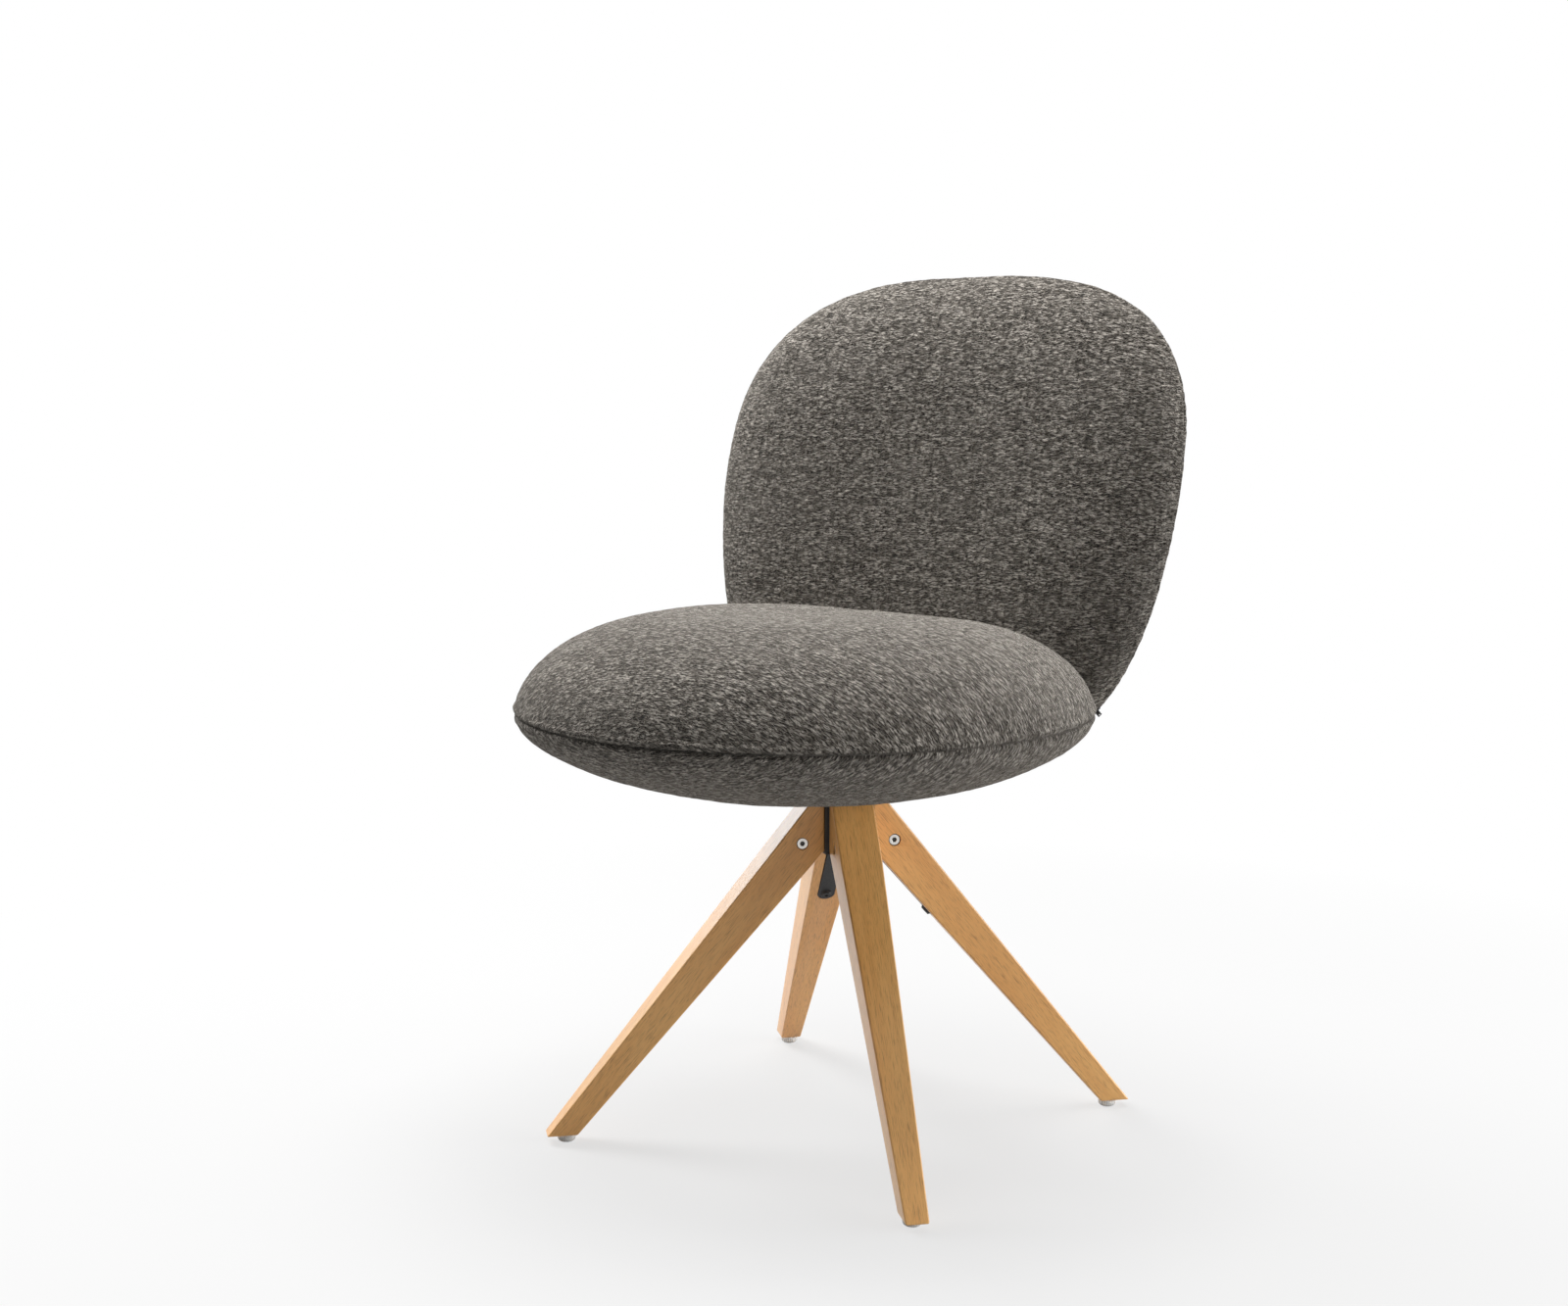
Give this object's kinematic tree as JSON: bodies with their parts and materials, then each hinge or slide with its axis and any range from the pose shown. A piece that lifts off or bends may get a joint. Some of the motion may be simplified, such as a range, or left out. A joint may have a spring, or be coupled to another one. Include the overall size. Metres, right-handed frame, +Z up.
{
  "type": "swivel dining chair",
  "caption": "Upholstered dining chair with a round pebble seat and a curved pebble back, turning freely on a spindle over splayed timber legs.",
  "frame": {"origin": "on the floor, under the middle of the chair's outer box; the swivel axis stands 30 mm behind it, on +Y", "axes": "+Z up, +X to the sitter's left, and the sitter faces -Y"},
  "size_m": [0.5322, 0.613, 0.8235],
  "materials": {
    "timber": "oiled beech",
    "plywood": "raw plywood",
    "cover": "short-pile boucle, warm dark grey",
    "foam": "upholstery foam",
    "black_steel": "matt black powder coat",
    "nickel": "satin nickel",
    "bearing_steel": "turned steel",
    "cage_brass": "plain",
    "bush_plastic": "moulded",
    "glide_plastic": "white, moulded",
    "zip_black": "woven tape and moulded teeth"
  },
  "bodies": {
    "base": {"leg_front_left": "timber", "leg_front_right": "timber", "leg_rear_left": "timber", "leg_rear_right": "timber", "foot_glides": "glide_plastic", "glide_pins": "bearing_steel", "hub_tube": "black_steel", "hub_fins": "black_steel", "hub_top_plate": "black_steel", "leg_bolts": "nickel", "leg_sleeve_nuts": "nickel", "leg_brace": "black_steel", "brace_screws": "black_steel", "bearing_housing": "bearing_steel", "lower_bush": "bush_plastic", "upper_bush": "bush_plastic", "thrust_race_lower": "bearing_steel", "thrust_balls": "bearing_steel", "thrust_cage": "cage_brass"},
    "seat": {"thrust_race_upper": "bearing_steel", "spindle": "bearing_steel", "spindle_washer": "bearing_steel", "circlip": "bearing_steel", "seat_plate": "black_steel", "seat_bolts": "black_steel", "seat_bolt_washers": "bearing_steel", "tee_nuts": "bearing_steel", "seat_block": "plywood", "seat_board": "plywood", "seat_foam": "foam", "seat_bottom_pad": "foam", "seat_cover_top": "cover", "seat_cover_bottom": "cover", "seat_rear_panel": "cover", "back_brackets": "black_steel", "bracket_screws_seat": "bearing_steel", "bracket_screws_back": "bearing_steel", "back_shell": "plywood", "back_foam_front": "foam", "back_foam_rear": "foam", "back_cover_front": "cover", "back_cover_rear": "cover", "back_zip": "zip_black", "zip_pull": "zip_black"}
  },
  "joints": [
    {"name": "swivel", "type": "hinge", "parent": "base", "child": "seat", "pos_m": [0, 0.03, 0.331], "axis": [0, 0, 1], "continuous": true}
  ]
}
